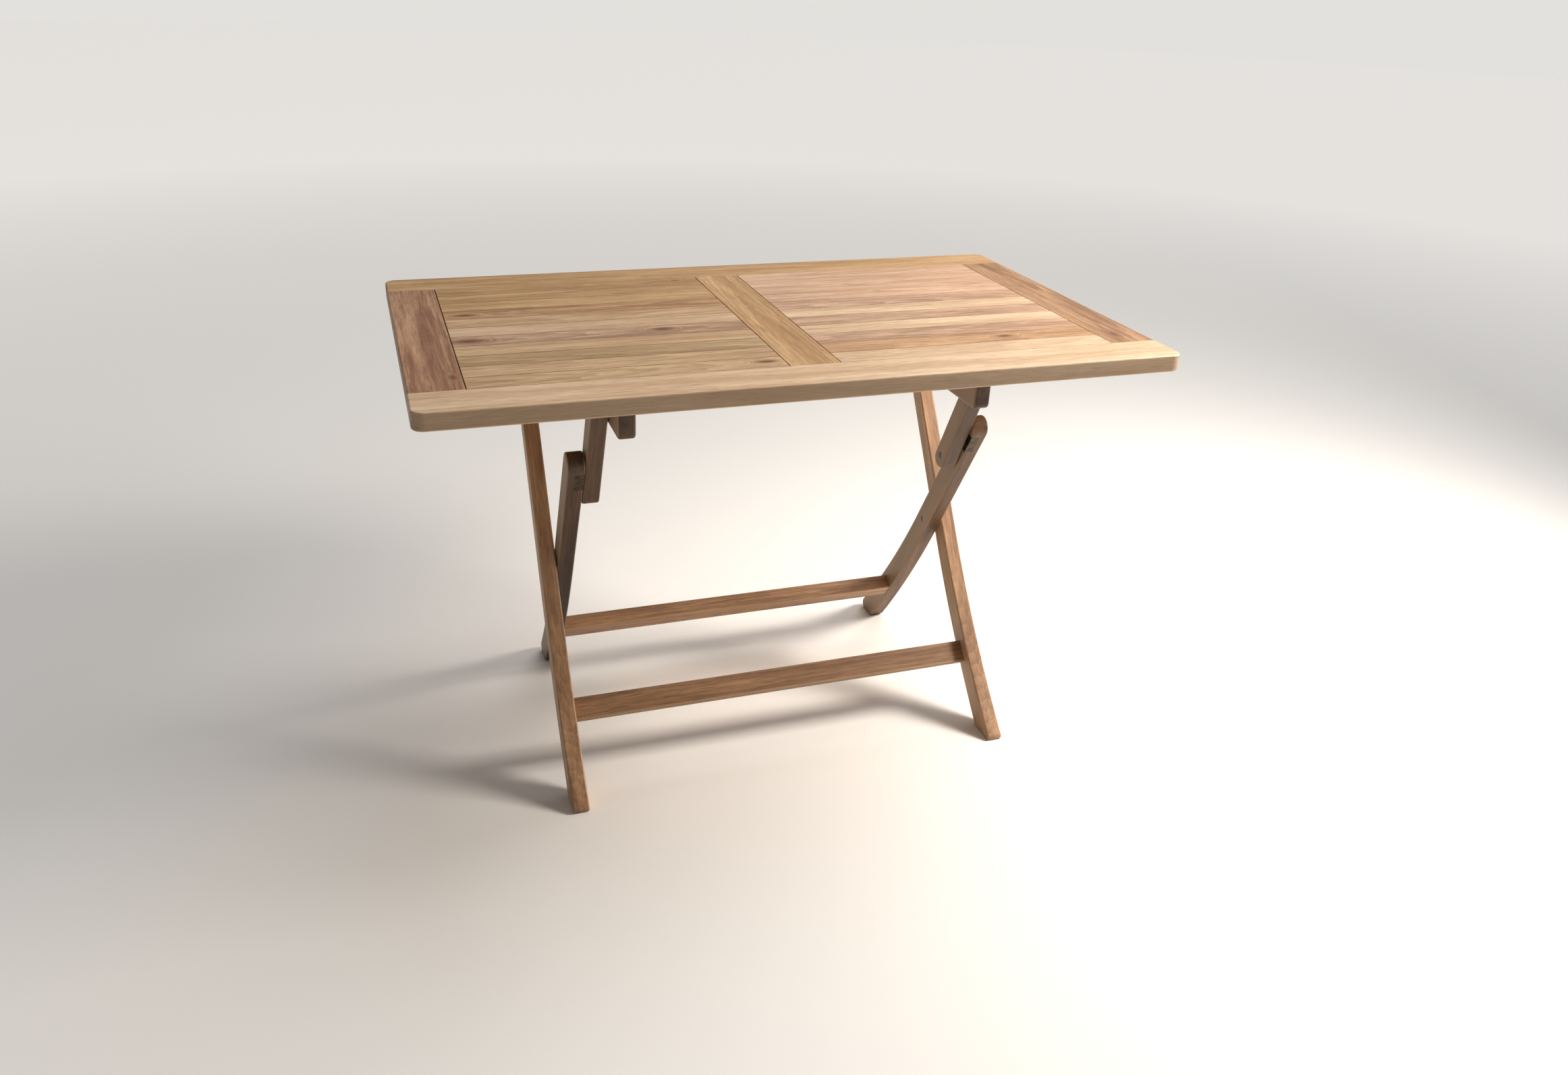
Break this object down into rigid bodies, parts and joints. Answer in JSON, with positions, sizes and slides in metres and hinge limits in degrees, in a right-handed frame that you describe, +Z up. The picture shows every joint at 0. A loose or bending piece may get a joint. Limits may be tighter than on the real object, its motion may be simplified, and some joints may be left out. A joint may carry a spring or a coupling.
{
  "type": "folding garden table",
  "caption": "Rectangular teak garden table with a framed, slatted top on two crossed leg frames that fold up flat under it.",
  "frame": {"origin": "on the floor, under the middle of the top, with the table open", "axes": "+X along the table's length, +Y from the front to the back, +Z up"},
  "size_m": [1.2, 0.7, 0.74],
  "materials": {
    "slat_teak": "oiled",
    "rail_teak": "oiled",
    "leg_teak": "oiled",
    "plate_steel": "dull zinc-plated",
    "fastener_steel": "dull zinc-plated"
  },
  "bodies": {
    "table_top": {"arm_hinge_bolts": "fastener_steel", "arm_hinge_nuts": "fastener_steel", "arm_hinge_washers": "fastener_steel", "back_rail": "rail_teak", "bearer_left": "leg_teak", "bearer_right": "leg_teak", "bearer_screws": "fastener_steel", "centre_rail": "rail_teak", "end_rail_left": "rail_teak", "end_rail_right": "rail_teak", "front_rail": "rail_teak", "hinge_block_left": "leg_teak", "hinge_block_right": "leg_teak", "leg_hinge_bolts": "fastener_steel", "leg_hinge_nuts": "fastener_steel", "leg_hinge_washers": "fastener_steel", "slat_left_01": "slat_teak", "slat_left_02": "slat_teak", "slat_left_03": "slat_teak", "slat_left_04": "slat_teak", "slat_left_05": "slat_teak", "slat_left_06": "slat_teak", "slat_left_07": "slat_teak", "slat_left_08": "slat_teak", "slat_left_09": "slat_teak", "slat_left_10": "slat_teak", "slat_left_11": "slat_teak", "slat_right_01": "slat_teak", "slat_right_02": "slat_teak", "slat_right_03": "slat_teak", "slat_right_04": "slat_teak", "slat_right_05": "slat_teak", "slat_right_06": "slat_teak", "slat_right_07": "slat_teak", "slat_right_08": "slat_teak", "slat_right_09": "slat_teak", "slat_right_10": "slat_teak", "slat_right_11": "slat_teak"},
    "outer_frame": {"crossing_inserts": "fastener_steel", "crossing_washers": "fastener_steel", "outer_leg_left": "leg_teak", "outer_leg_right": "leg_teak", "outer_stretcher": "leg_teak"},
    "link_arms": {"link_arm_left": "leg_teak", "link_arm_right": "leg_teak", "link_bolts": "fastener_steel", "link_washers": "fastener_steel"},
    "inner_frame": {"crossing_bolts": "fastener_steel", "inner_leg_left": "leg_teak", "inner_leg_right": "leg_teak", "inner_stretcher": "leg_teak", "link_inserts": "fastener_steel", "stop_plate_left": "plate_steel", "stop_plate_right": "plate_steel", "stop_plate_screws": "fastener_steel"}
  },
  "joints": [
    {"name": "outer_fold", "type": "hinge", "parent": "table_top", "child": "outer_frame", "pos_m": [0, 0.217, 0.679], "axis": [-1, 0, 0], "range_deg": [0, 54.8]},
    {"name": "arm_fold", "type": "hinge", "parent": "table_top", "child": "link_arms", "pos_m": [0, -0.203, 0.679], "axis": [1, 0, 0], "range_deg": [0, 61.62]},
    {"name": "link_fold", "type": "hinge", "parent": "link_arms", "child": "inner_frame", "pos_m": [0, -0.11581, 0.49989], "axis": [-1, 0, 0], "range_deg": [0, 176.87]}
  ],
  "couplings": [
    {"joint": "arm_fold", "follows": "outer_fold", "ratio": 1.1243},
    {"joint": "link_fold", "follows": "outer_fold", "ratio": 3.2273}
  ]
}
